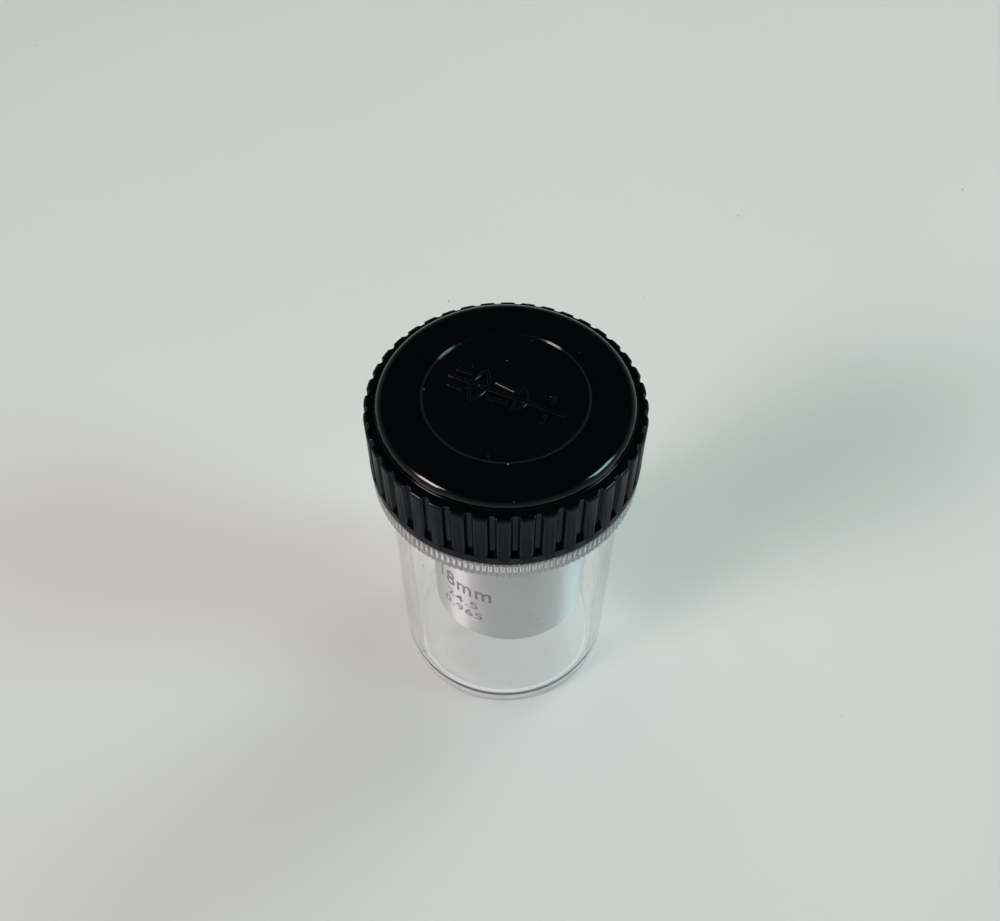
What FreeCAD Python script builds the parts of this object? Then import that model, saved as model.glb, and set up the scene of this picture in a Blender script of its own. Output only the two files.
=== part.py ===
"""Telescope eyepiece, 24.5 mm barrel, in its clear screw-top storage case.

Millimetres. The origin is the centre of the case's foot on the table and +Z is up the case.
The eyepiece hangs by its grip ring from the rim of the jar, a little off the case's axis.
"""
import FreeCAD, Part
import math
import os

Vector = FreeCAD.Vector
UP = Vector(0, 0, 1)

# Storage case, heights above the table
TOP_Z = 60.0
CAP_BOTTOM_Z = 47.8
COLLAR_TOP_Z = 47.5
COLLAR_BOTTOM_Z = 44.6
RIM_Z = 54.6
JAR_FLOOR_Z = 2.0
FOOT_RECESS = 0.4

# Jar radii
JAR_R = 17.05
JAR_BORE_R = 15.25
FOOT_INNER_R = 14.4
COLLAR_R = 19.1
COLLAR_TEETH = 144
COLLAR_TOOTH_DEPTH = 0.22
NECK_R = 16.9

# Two-start thread between jar and cap
THREAD_LEAD = 5.0
THREAD_STARTS = 2
THREAD_RISE = 4.7
THREAD_START_Z = 48.9
THREAD_ROOT_WIDTH = 1.15
THREAD_CREST_WIDTH = 0.5
THREAD_SUNK = 0.3
JAR_THREAD_CREST_R = 17.6
CAP_THREAD_CREST_R = 17.1
CAP_BORE_R = 17.75

# Cap
CAP_CEILING_Z = 58.2
BAND_TOP_Z = 49.5
LEDGE_Z = 58.35
RIB_R = 19.2
RIB_EDGE_R = 19.12
GROOVE_FLOOR_R = 18.55
RIB_COUNT = 40
GROOVE_PHASE = 3.5
GROOVE_TOP_WIDTH = 1.3
GROOVE_FLOOR_WIDTH = 0.65
RIB_TOP_CHAMFER = 0.6
DISC_R = 17.6
DISC_ROUNDING = 1.4
RECESS_R = 11.4
RECESS_DEPTH = 0.4
EMBLEM_HEIGHT = 0.3
EMBLEM_LENGTH = 19.0
EMBLEM_LINE = 0.6
EMBLEM_TURN = -25.0

# Liner, loose in the cap above its thread
LINER_R = 17.4
LINER_BOTTOM_Z = 57.4
TOUCH_GAP = 0.02

# Eyepiece shell
EYEPIECE_X = 0.75
BARREL_R = 12.25
BARREL_BOTTOM_Z = 15.3
BARREL_TOP_Z = 39.5
FILTER_BORE_R = 11.25
FILTER_DEPTH = 3.0
BARREL_BORE_R = 10.9
STOP_SHOULDER_Z = 31.0
INNER_BORE_R = 10.3
SPIGOT_R = 11.9
SPIGOT_TOP_Z = 44.9
HOUSING_R = 13.6
HOUSING_BORE_R = 11.95
HOUSING_SHOULDER_Z = 45.0
HOUSING_CHAMFER = 1.2
CELL_SEAT_Z = 52.0
HOUSING_NECK_R = 12.5
HOUSING_TOP_Z = 56.2
NAME_RING_R = 13.85
NAME_RING_INNER_R = 13.35
NAME_RING_Z = (50.0, 53.0)
GRIP_R = 16.05
GRIP_TEETH = 72
GRIP_TOOTH_DEPTH = 0.3
GRIP_RIM_R = 14.0
EYE_CAP_RIM_R = 13.9
EYE_CAP_TOP_Z = 57.2
EYE_HOLE_R = 7.6

# Optics and their cells
ELEMENT_R = 8.8
TRIPLET_OUTER_CURVE = 24.0
TRIPLET_CEMENT_CURVE = 15.5
TRIPLET_VERTICES = (37.5, 42.5, 44.0, 49.0)
EYE_LENS_R = 9.3
EYE_LENS_CURVE = 18.0
EYE_LENS_VERTEX_Z = 50.0
EYE_LENS_TOP_Z = 53.6
LENS_CELL_R = 10.2
LENS_CELL_BORE_R = 9.4
LENS_CELL_FLANGE_R = 11.4
LENS_CELL_Z = (36.0, 54.9)
RING_R = 9.35
TRIPLET_CELL_Z = (37.2, 49.2)
TRIPLET_RETAINER_Z = (47.75, 49.2)
SPACER_TOP_Z = 52.0
EYE_RETAINER_Z = (53.65, 54.9)
FIELD_STOP_R = 6.8
FIELD_STOP_RING_R = 10.85
FIELD_STOP_Z = (30.0, 31.0)
STOP_RETAINER_Z = (28.4, 30.0)
SLOT_WIDTH = 1.2
SLOT_DEPTH = 0.7

# Grub screws that hold the lens cell
SCREW_Z = 47.5
SCREW_COUNT = 3
SCREW_R = 0.95
SCREW_HOLE_R = 1.0
SCREW_INNER_R = 10.25
SCREW_LENGTH = 2.9
SOCKET_ACROSS = 0.9
SOCKET_DEPTH = 0.9


def wire_face(edges):
    """A flat face bounded by a closed loop of edges."""
    return Part.Face(Part.Wire(edges))


def spin(face):
    """Turn a face in the XZ plane once round the Z axis."""
    return face.revolve(Vector(0, 0, 0), UP, 360)


def turned(outline):
    """A solid of revolution from (radius, height) corners."""
    corners = [Vector(r, 0, z) for r, z in outline]
    return spin(Part.Face(Part.makePolygon(corners + corners[:1])))


def on_eyepiece_axis(shape):
    """Move a shape built on the case's axis to the eyepiece's axis."""
    return shape.translated(Vector(EYEPIECE_X, 0, 0))


def circle_edges(shape, radius, height):
    """The full-circle edges of one radius at one height."""
    found = []
    for edge in shape.Edges:
        curve = edge.Curve
        if not isinstance(curve, Part.Circle):
            continue
        if abs(curve.Radius - radius) < 0.01 and abs(curve.Center.z - height) < 0.01:
            found.append(edge)
    return found


def rounded(shape, radius, height, size):
    """Fillet the circular edge of one radius at one height."""
    return shape.makeFillet(size, circle_edges(shape, radius, height))


def polar(radius, degrees, height=0.0):
    """A point from radius, angle and height."""
    angle = math.radians(degrees)
    return Vector(radius * math.cos(angle), radius * math.sin(angle), height)


def serrated_disc(radius, depth, teeth, bottom, top, chamfer):
    """A disc whose edge is cut into fine V-shaped teeth, with both rims chamfered."""
    step = 360.0 / teeth
    corners = []
    for index in range(teeth):
        corners.append(polar(radius, index * step, bottom))
        corners.append(polar(radius - depth, (index + 0.5) * step, bottom))
    blank = Part.Face(Part.makePolygon(corners + corners[:1])).extrude(UP * (top - bottom))
    envelope = turned([
        (0, bottom),
        (radius - chamfer, bottom),
        (radius, bottom + chamfer),
        (radius, top - chamfer),
        (radius - chamfer, top),
        (0, top),
    ])
    return blank.common(envelope)


def thread_ridges(root_r, crest_r, first_angle):
    """The helical ridges of one side of the case's thread, one per start."""
    outward = math.copysign(1.0, crest_r - root_r)
    sunk_r = root_r - outward * THREAD_SUNK
    half_root = THREAD_ROOT_WIDTH / 2
    half_crest = THREAD_CREST_WIDTH / 2
    section = Part.makePolygon([
        Vector(sunk_r, 0, -half_root),
        Vector(crest_r, 0, -half_crest),
        Vector(crest_r, 0, half_crest),
        Vector(sunk_r, 0, half_root),
        Vector(sunk_r, 0, -half_root),
    ])
    helix = Part.makeHelix(THREAD_LEAD, THREAD_RISE, root_r)
    ridge = Part.Wire(helix.Edges).makePipeShell([section], True, True)
    ridge.translate(UP * THREAD_START_Z)
    ridges = []
    for start in range(THREAD_STARTS):
        turn = first_angle + start * 360.0 / THREAD_STARTS
        ridges.append(ridge.rotated(Vector(0, 0, 0), UP, turn))
    return ridges


def case_jar():
    """Clear jar: foot, wall, serrated collar and threaded neck."""
    body = turned([
        (0, FOOT_RECESS),
        (FOOT_INNER_R, FOOT_RECESS),
        (FOOT_INNER_R + FOOT_RECESS, 0),
        (JAR_R, 0),
        (JAR_R, COLLAR_TOP_Z),
        (NECK_R, COLLAR_TOP_Z),
        (NECK_R, RIM_Z),
        (JAR_BORE_R, RIM_Z),
        (JAR_BORE_R, JAR_FLOOR_Z),
        (0, JAR_FLOOR_Z),
    ])
    body = rounded(body, JAR_R, 0, 0.9)
    body = rounded(body, JAR_BORE_R, JAR_FLOOR_Z, 1.2)
    body = rounded(body, NECK_R, RIM_Z, 0.4)
    collar = serrated_disc(
        COLLAR_R, COLLAR_TOOTH_DEPTH, COLLAR_TEETH, COLLAR_BOTTOM_Z, COLLAR_TOP_Z, 0.3
    )
    middle = Part.makeCylinder(
        (JAR_R + JAR_BORE_R) / 2, COLLAR_TOP_Z - COLLAR_BOTTOM_Z, UP * COLLAR_BOTTOM_Z
    )
    body = body.fuse(collar.cut(middle))
    return body.fuse(thread_ridges(NECK_R, JAR_THREAD_CREST_R, 0)).removeSplitter()


def ribbed_outline():
    """The cap's outline across its ribs: slightly crowned ribs and slant-sided grooves."""
    step = 360.0 / RIB_COUNT
    half_top = math.degrees(GROOVE_TOP_WIDTH / 2 / RIB_EDGE_R)
    half_floor = math.degrees(GROOVE_FLOOR_WIDTH / 2 / GROOVE_FLOOR_R)
    edges = []
    for index in range(RIB_COUNT):
        groove = GROOVE_PHASE + index * step
        enter = polar(RIB_EDGE_R, groove - half_top)
        floor_start = polar(GROOVE_FLOOR_R, groove - half_floor)
        floor_end = polar(GROOVE_FLOOR_R, groove + half_floor)
        leave = polar(RIB_EDGE_R, groove + half_top)
        crown = polar(RIB_R, groove + step / 2)
        next_enter = polar(RIB_EDGE_R, groove + step - half_top)
        edges.append(Part.makeLine(enter, floor_start))
        edges.append(Part.makeLine(floor_start, floor_end))
        edges.append(Part.makeLine(floor_end, leave))
        edges.append(Part.Arc(leave, crown, next_enter).toShape())
    return edges


def lens_outline(centre_x, half_height, left_bulge, right_bulge):
    """The closed outline of a lens seen from the side, with bulges either side of centre_x."""
    top = Vector(centre_x, half_height, 0)
    bottom = Vector(centre_x, -half_height, 0)
    right = Part.Arc(bottom, Vector(centre_x + right_bulge, 0, 0), top).toShape()
    if left_bulge:
        left = Part.Arc(top, Vector(centre_x - left_bulge, 0, 0), bottom).toShape()
    else:
        left = Part.makeLine(top, bottom)
    return [right, left]


def emblem():
    """A plain raised optical diagram: two lenses and a stop on an axis line."""
    line = Part.makeBox(EMBLEM_LENGTH, EMBLEM_LINE, EMBLEM_HEIGHT)
    line.translate(Vector(-EMBLEM_LENGTH / 2, -EMBLEM_LINE / 2, 0))
    pieces = [line]
    for outline in (lens_outline(-4.0, 2.9, 1.1, 1.1), lens_outline(1.6, 2.4, 0, 1.5)):
        pieces.append(wire_face(outline).extrude(UP * EMBLEM_HEIGHT))
    for side in (-1, 1):
        tick = Part.makeBox(EMBLEM_LINE, 1.4, EMBLEM_HEIGHT)
        tick.translate(Vector(6.2, side * 1.7 - 0.7, 0))
        pieces.append(tick)
    return [piece.rotated(Vector(0, 0, 0), UP, EMBLEM_TURN) for piece in pieces]


def case_cap():
    """Black screw cap with crowned ribs, a smooth band, a disc top and an internal thread."""
    ribs = wire_face(ribbed_outline()).extrude(UP * (LEDGE_Z - BAND_TOP_Z))
    ribs.translate(UP * BAND_TOP_Z)
    ribs = ribs.common(turned([
        (0, BAND_TOP_Z),
        (RIB_R, BAND_TOP_Z),
        (RIB_R, LEDGE_Z - RIB_TOP_CHAMFER),
        (RIB_R - RIB_TOP_CHAMFER, LEDGE_Z),
        (0, LEDGE_Z),
    ]))
    band = Part.makeCylinder(RIB_R, BAND_TOP_Z - CAP_BOTTOM_Z, UP * CAP_BOTTOM_Z)
    band = rounded(band, RIB_R, CAP_BOTTOM_Z, 0.3)
    disc = Part.makeCylinder(DISC_R, TOP_Z - BAND_TOP_Z, UP * BAND_TOP_Z)
    disc = rounded(disc, DISC_R, TOP_Z, DISC_ROUNDING)
    recess_floor = TOP_Z - RECESS_DEPTH
    recess = Part.makeCylinder(RECESS_R, 2 * RECESS_DEPTH, UP * recess_floor)
    bore = Part.makeCylinder(CAP_BORE_R, CAP_CEILING_Z - CAP_BOTTOM_Z, UP * CAP_BOTTOM_Z)
    cap = band.fuse([ribs, disc]).cut([recess, bore])
    raised = [piece.translated(UP * recess_floor) for piece in emblem()]
    ridges = thread_ridges(CAP_BORE_R, CAP_THREAD_CREST_R, 90)
    return cap.fuse(raised + ridges).removeSplitter()


def cap_liner():
    """Loose sealing disc inside the cap, kept there by the cap's thread."""
    height = CAP_CEILING_Z - LINER_BOTTOM_Z - 2 * TOUCH_GAP
    return Part.makeCylinder(LINER_R, height, UP * (LINER_BOTTOM_Z + TOUCH_GAP))


def barrel():
    """Chromed 24.5 mm barrel with a filter bore at the mouth and a spigot for the housing."""
    return turned([
        (FILTER_BORE_R + 0.3, BARREL_BOTTOM_Z),
        (BARREL_R - 0.4, BARREL_BOTTOM_Z),
        (BARREL_R, BARREL_BOTTOM_Z + 0.4),
        (BARREL_R, BARREL_TOP_Z),
        (SPIGOT_R, BARREL_TOP_Z),
        (SPIGOT_R, SPIGOT_TOP_Z),
        (INNER_BORE_R, SPIGOT_TOP_Z),
        (INNER_BORE_R, STOP_SHOULDER_Z),
        (BARREL_BORE_R, STOP_SHOULDER_Z),
        (BARREL_BORE_R, BARREL_BOTTOM_Z + FILTER_DEPTH + 0.3),
        (FILTER_BORE_R, BARREL_BOTTOM_Z + FILTER_DEPTH + 0.3),
        (FILTER_BORE_R, BARREL_BOTTOM_Z + 0.3),
    ])


def around(count, first_angle=0.0):
    """Evenly spaced angles round a full turn."""
    return [first_angle + index * 360.0 / count for index in range(count)]


def radial(shape, degrees):
    """A shape built along +X, turned round the Z axis."""
    return shape.rotated(Vector(0, 0, 0), UP, degrees)


def screw_hole():
    """A cross hole through the housing's wall, along +X."""
    start = Vector(SCREW_INNER_R - 1.0, 0, SCREW_Z)
    return Part.makeCylinder(SCREW_HOLE_R, HOUSING_R - SCREW_INNER_R + 2.0, start, Vector(1, 0, 0))


def housing():
    """Black body between barrel and eye cap, with a groove for the name ring."""
    body = turned([
        (HOUSING_BORE_R, BARREL_TOP_Z),
        (HOUSING_R - HOUSING_CHAMFER, BARREL_TOP_Z),
        (HOUSING_R, BARREL_TOP_Z + HOUSING_CHAMFER),
        (HOUSING_R, NAME_RING_Z[0]),
        (NAME_RING_INNER_R, NAME_RING_Z[0]),
        (NAME_RING_INNER_R, NAME_RING_Z[1]),
        (HOUSING_R, NAME_RING_Z[1]),
        (HOUSING_R, RIM_Z),
        (HOUSING_NECK_R, RIM_Z),
        (HOUSING_NECK_R, HOUSING_TOP_Z),
        (SPIGOT_R, HOUSING_TOP_Z),
        (SPIGOT_R, CELL_SEAT_Z),
        (INNER_BORE_R, CELL_SEAT_Z),
        (INNER_BORE_R, HOUSING_SHOULDER_Z),
        (HOUSING_BORE_R, HOUSING_SHOULDER_Z),
    ])
    return body.cut([radial(screw_hole(), angle) for angle in around(SCREW_COUNT)])


def name_ring():
    """Plain ring set into the housing's groove."""
    return turned([
        (NAME_RING_INNER_R, NAME_RING_Z[0]),
        (NAME_RING_R - 0.15, NAME_RING_Z[0]),
        (NAME_RING_R, NAME_RING_Z[0] + 0.15),
        (NAME_RING_R, NAME_RING_Z[1] - 0.15),
        (NAME_RING_R - 0.15, NAME_RING_Z[1]),
        (NAME_RING_INNER_R, NAME_RING_Z[1]),
    ])


def grip_ring():
    """Knurled flange that the eyepiece hangs by."""
    blank = serrated_disc(GRIP_R, GRIP_TOOTH_DEPTH, GRIP_TEETH, RIM_Z, LINER_BOTTOM_Z, 0.35)
    lower_bore = Part.makeCylinder(HOUSING_NECK_R + 0.05, TOP_Z - RIM_Z, UP * RIM_Z)
    upper_bore = Part.makeCylinder(GRIP_RIM_R, TOP_Z - HOUSING_TOP_Z, UP * HOUSING_TOP_Z)
    return blank.cut([lower_bore, upper_bore])


def eye_cap():
    """Black eye-end cap: threaded skirt, flat rim and a conical dish down to the eye hole."""
    skirt_bottom = CELL_SEAT_Z + 1.55
    return turned([
        (LENS_CELL_R + 0.1, skirt_bottom),
        (SPIGOT_R - 0.05, skirt_bottom),
        (SPIGOT_R - 0.05, HOUSING_TOP_Z + TOUCH_GAP),
        (EYE_CAP_RIM_R, HOUSING_TOP_Z + TOUCH_GAP),
        (EYE_CAP_RIM_R, EYE_CAP_TOP_Z - 0.2),
        (EYE_CAP_RIM_R - 0.2, EYE_CAP_TOP_Z),
        (EYE_CAP_RIM_R - 2.0, EYE_CAP_TOP_Z),
        (EYE_HOLE_R, LENS_CELL_Z[1] + 0.5),
        (EYE_HOLE_R, LENS_CELL_Z[1] + 0.1),
        (LENS_CELL_R + 0.1, LENS_CELL_Z[1] + 0.1),
    ])


def sag(curve_radius, radius):
    """How far a sphere has fallen away from its vertex at a given radius."""
    return curve_radius - math.sqrt(curve_radius ** 2 - radius ** 2)


def surface_edge(vertex_z, curve_radius, radius, side):
    """Half-section of a lens surface; side is +1 when it curves up at the rim and -1 when down."""
    middle = Vector(radius / 2, 0, vertex_z + side * sag(curve_radius, radius / 2))
    rim = Vector(radius, 0, vertex_z + side * sag(curve_radius, radius))
    return Part.Arc(Vector(0, 0, vertex_z), middle, rim).toShape()


def lens(radius, lower, upper):
    """A lens between two half-section edges that both start on the axis."""
    lower_axis, lower_rim = lower.Vertexes[0].Point, lower.Vertexes[-1].Point
    upper_axis, upper_rim = upper.Vertexes[0].Point, upper.Vertexes[-1].Point
    side = Part.makeLine(lower_rim, upper_rim)
    axis = Part.makeLine(upper_axis, lower_axis)
    return spin(wire_face([lower, side, upper, axis]))


def triplet_surfaces():
    """Half-sections of the four surfaces of the cemented triplet, lowest first."""
    bottom, lower_cement, upper_cement, top = TRIPLET_VERTICES
    return [
        surface_edge(bottom, TRIPLET_OUTER_CURVE, ELEMENT_R, 1),
        surface_edge(lower_cement, TRIPLET_CEMENT_CURVE, ELEMENT_R, -1),
        surface_edge(upper_cement, TRIPLET_CEMENT_CURVE, ELEMENT_R, 1),
        surface_edge(top, TRIPLET_OUTER_CURVE, ELEMENT_R, -1),
    ]


def triplet_elements():
    """The three cemented elements: crown, flint, crown."""
    surfaces = triplet_surfaces()
    return [lens(ELEMENT_R, surfaces[index], surfaces[index + 1]) for index in range(3)]


def eye_lens():
    """Plano-convex eye lens, flat side towards the eye."""
    lower = surface_edge(EYE_LENS_VERTEX_Z, EYE_LENS_CURVE, EYE_LENS_R, 1)
    upper = Part.makeLine(Vector(0, 0, EYE_LENS_TOP_Z), Vector(EYE_LENS_R, 0, EYE_LENS_TOP_Z))
    return lens(EYE_LENS_R, lower, upper)


def slotted_ring(inner_r, outer_r, bottom, top, slot_side):
    """A retaining ring with two spanner slots in its upper (+1) or lower (-1) face."""
    ring = turned([(inner_r, bottom), (outer_r, bottom), (outer_r, top), (inner_r, top)])
    slot = Part.makeBox(4 * outer_r, SLOT_WIDTH, SLOT_DEPTH)
    slot_z = top - SLOT_DEPTH if slot_side > 0 else bottom
    slot.translate(Vector(-2 * outer_r, -SLOT_WIDTH / 2, slot_z))
    return ring.cut(slot)


def lens_cell():
    """Tube that carries all the optics, seated on the housing's inner shoulder."""
    bottom, top = LENS_CELL_Z
    return turned([
        (ELEMENT_R - 0.4, bottom),
        (LENS_CELL_R, bottom),
        (LENS_CELL_R, CELL_SEAT_Z),
        (LENS_CELL_FLANGE_R, CELL_SEAT_Z),
        (LENS_CELL_FLANGE_R, CELL_SEAT_Z + 1.5),
        (LENS_CELL_R, CELL_SEAT_Z + 1.5),
        (LENS_CELL_R, top),
        (LENS_CELL_BORE_R, top),
        (LENS_CELL_BORE_R, TRIPLET_CELL_Z[0]),
        (ELEMENT_R - 0.4, TRIPLET_CELL_Z[0]),
    ])


def triplet_cell():
    """Thin sleeve round the triplet, with a lip under it."""
    bottom, top = TRIPLET_CELL_Z
    lip_r = ELEMENT_R - 0.4
    lip_top = TRIPLET_VERTICES[0] + sag(TRIPLET_OUTER_CURVE, lip_r) - TOUCH_GAP
    return turned([
        (lip_r, bottom),
        (RING_R, bottom),
        (RING_R, top),
        (ELEMENT_R + 0.05, top),
        (ELEMENT_R + 0.05, lip_top),
        (lip_r, lip_top),
    ])


def spacer_ring():
    """Ring that sets the air gap between triplet and eye lens."""
    inner_r = EYE_LENS_R - 0.9
    bottom = TRIPLET_CELL_Z[1]
    return turned([(inner_r, bottom), (RING_R, bottom), (RING_R, SPACER_TOP_Z), (inner_r, SPACER_TOP_Z)])


def field_stop():
    """Ring with a sharp inner edge that bounds the view."""
    bottom, top = FIELD_STOP_Z
    return turned([
        (FIELD_STOP_R, top - 0.15),
        (FIELD_STOP_R + 1.2, bottom),
        (FIELD_STOP_RING_R, bottom),
        (FIELD_STOP_RING_R, top),
        (FIELD_STOP_R, top),
    ])


def set_screws():
    """Grub screws with hexagon sockets, one per cross hole in the housing."""
    end = SCREW_INNER_R + SCREW_LENGTH
    blank = Part.makeCylinder(SCREW_R, SCREW_LENGTH, Vector(SCREW_INNER_R, 0, SCREW_Z), Vector(1, 0, 0))
    corners = []
    for angle in around(6):
        reach = SOCKET_ACROSS / math.sqrt(3)
        turn = math.radians(angle)
        corners.append(Vector(end, reach * math.cos(turn), SCREW_Z + reach * math.sin(turn)))
    socket = Part.Face(Part.makePolygon(corners + corners[:1])).extrude(Vector(-SOCKET_DEPTH, 0, 0))
    screw = blank.cut(socket)
    return Part.makeCompound([radial(screw, angle) for angle in around(SCREW_COUNT)])


def eyepiece_nodes():
    """Every piece of the eyepiece by node name, built on the case's axis."""
    lower, middle, upper = triplet_elements()
    return {
        "barrel": barrel(),
        "housing": housing(),
        "name_ring": name_ring(),
        "grip_ring": grip_ring(),
        "eye_cap": eye_cap(),
        "lens_cell": lens_cell(),
        "triplet_cell": triplet_cell(),
        "triplet_lower_element": lower,
        "triplet_middle_element": middle,
        "triplet_upper_element": upper,
        "triplet_retainer": slotted_ring(ELEMENT_R - 0.8, ELEMENT_R, *TRIPLET_RETAINER_Z, 1),
        "spacer_ring": spacer_ring(),
        "eye_lens": eye_lens(),
        "eye_lens_retainer": slotted_ring(EYE_LENS_R - 1.1, RING_R, *EYE_RETAINER_Z, 1),
        "field_stop": field_stop(),
        "field_stop_retainer": slotted_ring(FIELD_STOP_R + 2.4, FIELD_STOP_RING_R, *STOP_RETAINER_Z, -1),
        "set_screws": set_screws(),
    }


def all_nodes():
    """Every node of the part by name, in place."""
    nodes = {"case_jar": case_jar(), "case_cap": case_cap(), "cap_liner": cap_liner()}
    for name, shape in eyepiece_nodes().items():
        nodes[name] = on_eyepiece_axis(shape)
    return nodes


os.makedirs("parts", exist_ok=True)
for node_name, node_shape in all_nodes().items():
    node_shape.exportStep("parts/" + node_name + ".step")
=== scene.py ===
"""Telescope eyepiece in its clear screw-top case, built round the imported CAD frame.

Profiles are in millimetres, as (radius, height) from the case's axis and foot. Meshes are in metres.
"""
import math

import bmesh
import bpy
from mathutils import Matrix, Vector


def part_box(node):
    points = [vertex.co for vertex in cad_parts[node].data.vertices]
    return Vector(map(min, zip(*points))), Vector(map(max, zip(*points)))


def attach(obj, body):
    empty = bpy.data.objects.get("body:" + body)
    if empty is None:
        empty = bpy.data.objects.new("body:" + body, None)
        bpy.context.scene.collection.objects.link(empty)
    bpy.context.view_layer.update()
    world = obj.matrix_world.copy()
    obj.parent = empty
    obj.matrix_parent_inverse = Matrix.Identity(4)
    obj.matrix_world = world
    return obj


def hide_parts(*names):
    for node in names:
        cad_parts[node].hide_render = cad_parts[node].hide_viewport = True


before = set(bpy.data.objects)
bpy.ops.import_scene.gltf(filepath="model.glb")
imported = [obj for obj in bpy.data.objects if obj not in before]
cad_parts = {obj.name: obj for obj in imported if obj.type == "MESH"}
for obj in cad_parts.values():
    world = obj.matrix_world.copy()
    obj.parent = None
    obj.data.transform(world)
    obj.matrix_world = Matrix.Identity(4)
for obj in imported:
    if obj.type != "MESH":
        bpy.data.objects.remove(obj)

MM = 0.001
TAU = 2 * math.pi
TINY = 1e-6
CREASE = math.radians(40)
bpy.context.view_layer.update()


def extent(node):
    """A CAD node's lowest and highest corners, in millimetres."""
    low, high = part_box(node)
    return Vector(low) / MM, Vector(high) / MM


JAR_HIGH = extent("case_jar")[1]
CAP_LOW, CAP_HIGH = extent("case_cap")
LINER_LOW, LINER_HIGH = extent("cap_liner")
BARREL_LOW, BARREL_HIGH = extent("barrel")
EYE_LENS_LOW, EYE_LENS_HIGH = extent("eye_lens")

# Case
JAR_R = 17.05
JAR_BORE_R = 15.25
JAR_FLOOR_Z = 2.0
FOOT_FROST = 2.0  # how many times as frosted as the collar
FOOT_R = 14.4
FOOT_RECESS = 0.4
COLLAR_R = JAR_HIGH.x
COLLAR_Z = (44.6, 47.5)
COLLAR_TEETH = 144
COLUMNS_PER_TOOTH = 5
COLLAR_TOOTH_DEPTH = 0.22
COLLAR_TOOTHED_WITHIN = 0.4
NECK_R = 16.9
RIM_Z = JAR_HIGH.z
CAP_BORE_R = 17.75
CAP_CEILING_Z = LINER_HIGH.z + 0.02
BAND_TOP_Z = 49.5
RIB_FOOT_STEP = 0.03
LEDGE_Z = 58.35
RIB_R = 19.2
RIB_EDGE_R = 19.12
RIB_COUNT = 40
GROOVE_R = 18.55
GROOVE_HALF_FLOOR = 0.325
GROOVE_HALF_MOUTH = 0.65
RIB_FLANK_END = 1.05
RIB_CROWN = 0.02
GROOVE_PHASE = math.radians(3.5)
DISC_R = 17.6
RECESS_R = 11.4
RECESS_DEPTH = 0.4
RECESS_WALL_RUN = 0.28
EMBLEM_HEIGHT = 0.34
EMBLEM_SUNK = 0.02
EMBLEM_LINE = 0.6
EMBLEM_BEVEL = 0.22
EMBLEM_TURN = math.radians(-25)

# Thread: two starts, 5 mm lead
THREAD_LEAD = 5.0
THREAD_TURN = TAU * 4.7 / THREAD_LEAD
THREAD_START_Z = 48.9
THREAD_HALF_ROOT = 0.575
THREAD_HALF_CREST = 0.25
THREAD_RUN_OUT = 0.12
THREAD_ROWS = 40
THREAD_ZONE = (48.2, 54.35)
THREAD_SEAM = 0.02
JAR_THREAD_HEIGHT = 0.7
CAP_THREAD_HEIGHT = 0.65

# Eyepiece
EYEPIECE_X = (BARREL_LOW.x + BARREL_HIGH.x) / 2
BARREL_R = (BARREL_HIGH.x - BARREL_LOW.x) / 2
BARREL_TOP_Z = 39.5
FILTER_BORE_R = 11.25
BARREL_BORE_R = 10.9
INNER_BORE_R = 10.3
STOP_SHOULDER_Z = 31.0
SPIGOT_R = 11.9
MOUTH_BREAK = 0.3
NOSE_CHAMFER = 0.4
FILTER_DEPTH = 3.3
BAFFLE_COUNT = 14
BAFFLE_DEPTH = 0.12
BAFFLE_WIDTH = 0.4
BAFFLES_BELOW_STOP = 4.0
BAFFLES_ABOVE_MOUTH = 4.2
TRIPLET_R = 8.8
TRIPLET_LEVELS = (37.5, 42.5, 44.0, 49.0)
TRIPLET_OUTER_CURVE = 24.0
TRIPLET_INNER_CURVE = 15.5
CEMENT = 0.008
EYE_LENS_R = 9.3
EYE_LENS_CURVE = 18.0
LENS_CHAMFER = 0.06
ENGRAVING_MIDDLE = math.radians(-126)
ENGRAVING_SUNK = 0.018
ENGRAVING_DEPTH = 0.03
ENGRAVING_WEIGHT = 0.012
ENGRAVING_SPACING = 1.12
ENGRAVING_SLICE = 0.35

# Stage, in millimetres for the table and metres for the camera
TABLE_R = 900.0
TABLE_DEPTH = 30.0
TABLE_EDGE = 3.0
CAMERA_PLACE = (-0.0008, -0.0907, 0.1663)
CAMERA_TILT = math.radians(36.85)
DARK_ABOVE = 0.6
HORIZON_STRENGTH = 0.34
OVERHEAD_STRENGTH = 0.005


# Mesh helpers

def softened(corners, closed=False, steps=5):
    """Round an outline's corners. A corner is (x, y) or (x, y, fillet)."""
    points = []
    last = len(corners) - 1
    for index, corner in enumerate(corners):
        here = Vector(corner[:2])
        if len(corner) < 3 or (not closed and index in (0, last)):
            points.append(tuple(here))
            continue
        fillet = corner[2]
        back = (Vector(corners[index - 1][:2]) - here).normalized()
        ahead = (Vector(corners[(index + 1) % len(corners)][:2]) - here).normalized()
        half = back.angle(ahead) / 2
        reach = fillet / math.tan(half)
        centre = here + (back + ahead).normalized() * (fillet / math.sin(half))
        first = here + back * reach - centre
        final = here + ahead * reach - centre
        sweep = math.pi - 2 * half
        points.append(tuple(centre + first + back * fillet * 0.15))
        for step in range(steps + 1):
            part = step / steps * sweep
            spoke = first * math.sin(sweep - part) + final * math.sin(part)
            points.append(tuple(centre + spoke / math.sin(sweep)))
        points.append(tuple(centre + final + ahead * fillet * 0.15))
    return points


def even_angles(count):
    """Evenly spaced angles round a full turn."""
    return [TAU * index / count for index in range(count)]


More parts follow.
